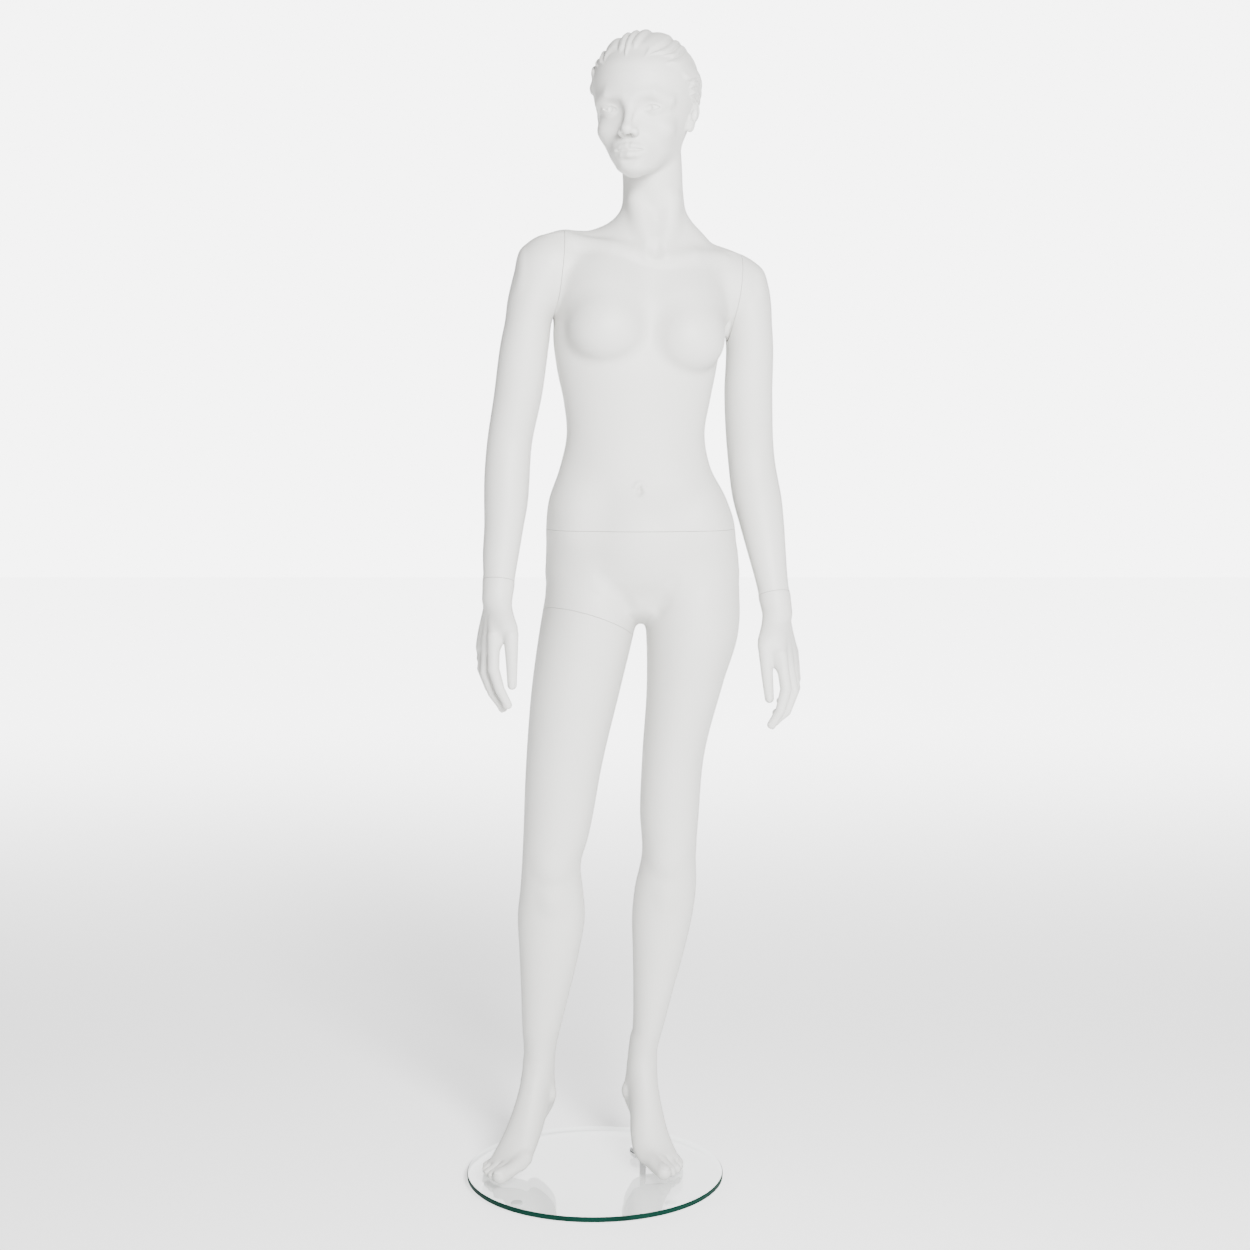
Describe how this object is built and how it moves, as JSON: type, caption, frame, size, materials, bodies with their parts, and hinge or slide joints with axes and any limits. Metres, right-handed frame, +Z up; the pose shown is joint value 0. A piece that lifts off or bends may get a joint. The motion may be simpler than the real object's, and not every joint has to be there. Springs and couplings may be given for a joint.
{
  "type": "full body mannequin",
  "caption": "Full body female display mannequin in matt white moulded fibreglass, standing on tiptoe on a round glass base, with detachable torso, arms, hands and leg.",
  "frame": {"origin": "on the floor under the middle of the glass base", "axes": "+Z up, the figure faces -Y, its left side is at +X"},
  "size_m": [0.5177, 0.4, 1.762],
  "materials": {
    "fibreglass": "matt off-white paint over fibreglass-reinforced plastic",
    "glass": "clear polished float glass with a green edge",
    "steel": "satin",
    "silicone": "clear soft silicone",
    "board": "raw birch plywood",
    "nylon": "black nylon"
  },
  "bodies": {
    "lower_body": {"glass_disc": "glass", "base_pad_1": "silicone", "base_pad_2": "silicone", "base_pad_3": "silicone", "base_pad_4": "silicone", "flange_gasket": "nylon", "spigot_flange": "steel", "spigot_rod": "steel", "spigot_washer": "steel", "spigot_bolt": "steel", "foot_socket_tube": "steel", "foot_lock_screw": "steel", "lower_body_shell": "fibreglass", "waist_socket_board": "board", "waist_keyhole_plate": "steel", "waist_plate_screw_1": "steel", "waist_plate_screw_2": "steel", "thigh_socket_board": "board", "thigh_keyhole_plate": "steel", "thigh_plate_screw_1": "steel", "thigh_plate_screw_2": "steel"},
    "right_leg": {"right_leg_shell": "fibreglass", "thigh_stud_board": "board", "thigh_bayonet_stud": "steel", "thigh_stud_nut": "steel"},
    "upper_body": {"torso_shell": "fibreglass", "waist_stud_board": "board", "waist_bayonet_stud": "steel", "waist_stud_nut": "steel", "right_shoulder_socket_board": "board", "right_shoulder_keyhole_plate": "steel", "right_shoulder_plate_screw_1": "steel", "right_shoulder_plate_screw_2": "steel", "left_shoulder_socket_board": "board", "left_shoulder_keyhole_plate": "steel", "left_shoulder_plate_screw_1": "steel", "left_shoulder_plate_screw_2": "steel"},
    "right_arm": {"right_arm_shell": "fibreglass", "right_shoulder_stud_board": "board", "right_shoulder_bayonet_stud": "steel", "right_shoulder_stud_nut": "steel", "right_wrist_socket_board": "board", "right_wrist_keyhole_plate": "steel"},
    "right_hand": {"right_hand": "fibreglass", "right_wrist_stud": "steel"},
    "left_arm": {"left_arm_shell": "fibreglass", "left_shoulder_stud_board": "board", "left_shoulder_bayonet_stud": "steel", "left_shoulder_stud_nut": "steel", "left_wrist_socket_board": "board", "left_wrist_keyhole_plate": "steel"},
    "left_hand": {"left_hand": "fibreglass", "left_wrist_stud": "steel"}
  },
  "joints": [
    {"name": "waist_twist", "type": "hinge", "parent": "lower_body", "child": "upper_body", "pos_m": [0.07, 0.033, 1.016], "axis": [0, 0, 1], "range_deg": [0, 45]},
    {"name": "thigh_twist", "type": "hinge", "parent": "lower_body", "child": "right_leg", "pos_m": [-0.01, 0.03, 0.868], "axis": [0.2779, 0.2499, 0.9276], "range_deg": [0, 25]},
    {"name": "right_shoulder_swing", "type": "hinge", "parent": "upper_body", "child": "right_arm", "pos_m": [-0.056, 0.03, 1.408], "axis": [-0.9723, -0.2005, 0.1203], "range_deg": [0, 45]},
    {"name": "left_shoulder_swing", "type": "hinge", "parent": "upper_body", "child": "left_arm", "pos_m": [0.213, 0.085, 1.375], "axis": [-0.968, -0.2006, 0.1505], "range_deg": [0, 45]},
    {"name": "right_wrist_twist", "type": "hinge", "parent": "right_arm", "child": "right_hand", "pos_m": [-0.1434, -0.031, 0.9396], "axis": [-0.063, -0.2909, -0.9547], "range_deg": [0, 90]},
    {"name": "left_wrist_twist", "type": "hinge", "parent": "left_arm", "child": "left_hand", "pos_m": [0.2766, 0.029, 0.9146], "axis": [0.1501, -0.3051, -0.9404], "range_deg": [-90, 0]}
  ]
}
